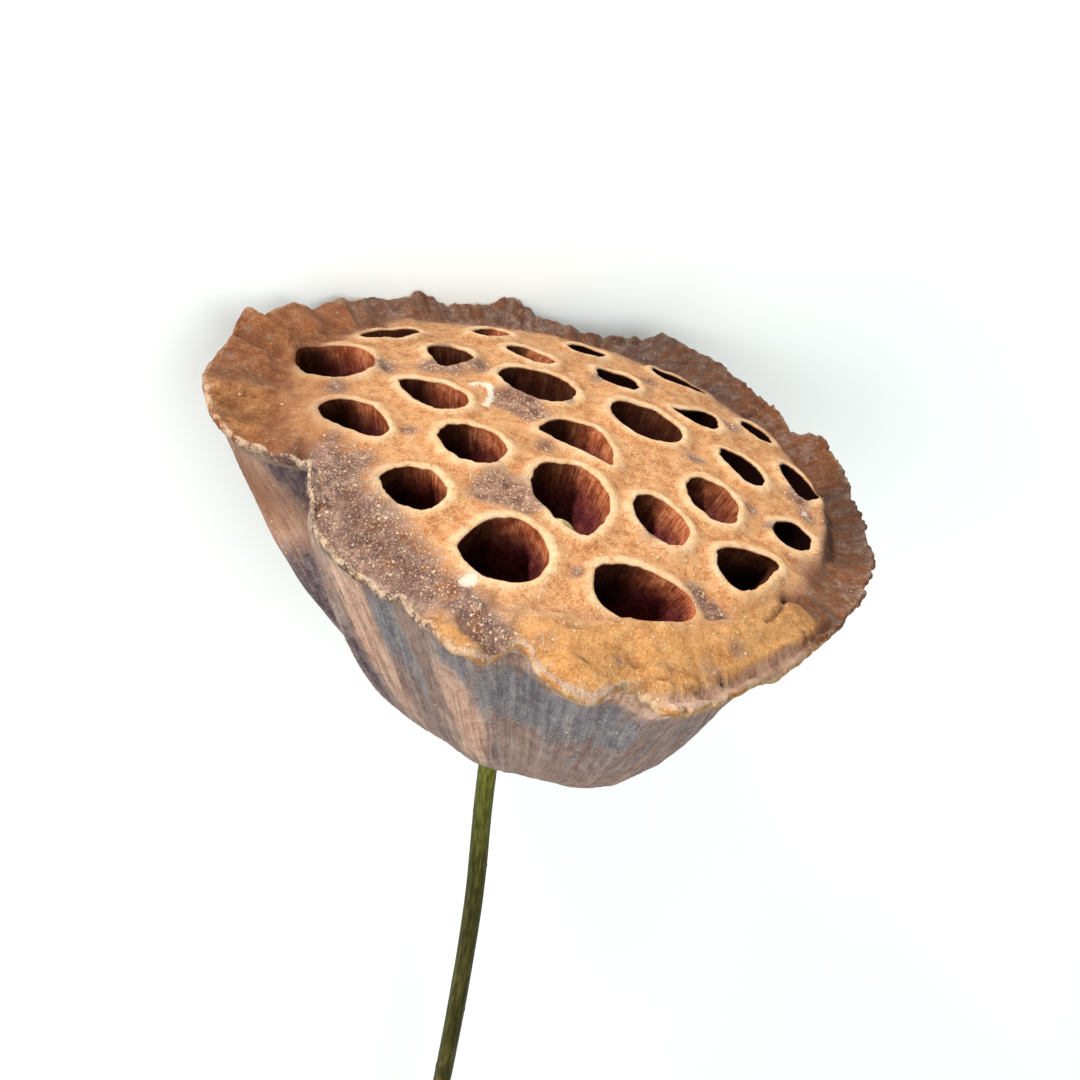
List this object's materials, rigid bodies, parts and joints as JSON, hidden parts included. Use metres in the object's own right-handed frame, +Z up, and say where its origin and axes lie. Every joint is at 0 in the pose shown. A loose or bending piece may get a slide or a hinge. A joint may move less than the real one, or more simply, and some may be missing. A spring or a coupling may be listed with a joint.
{
  "type": "dried lotus pod",
  "caption": "Dried lotus seed head on its cut stem: a wavy-rimmed, funnel-shaped pod whose domed face is full of open seed chambers, lying on its side.",
  "frame": {"origin": "on the surface that the part lies on, under the middle of its bounding box", "axes": "+Z up, +Y from the pod towards the cut end of its stem, so the face with the seed chambers looks to -Y"},
  "size_m": [0.1014, 0.229, 0.1031],
  "materials": {
    "dried_pod": "matte, dry and fibrous",
    "stem": "satin",
    "seed_shell": "smooth, dull"
  },
  "bodies": {
    "root": {"pod": "dried_pod", "stem": "stem", "seed": "seed_shell"}
  },
  "joints": []
}
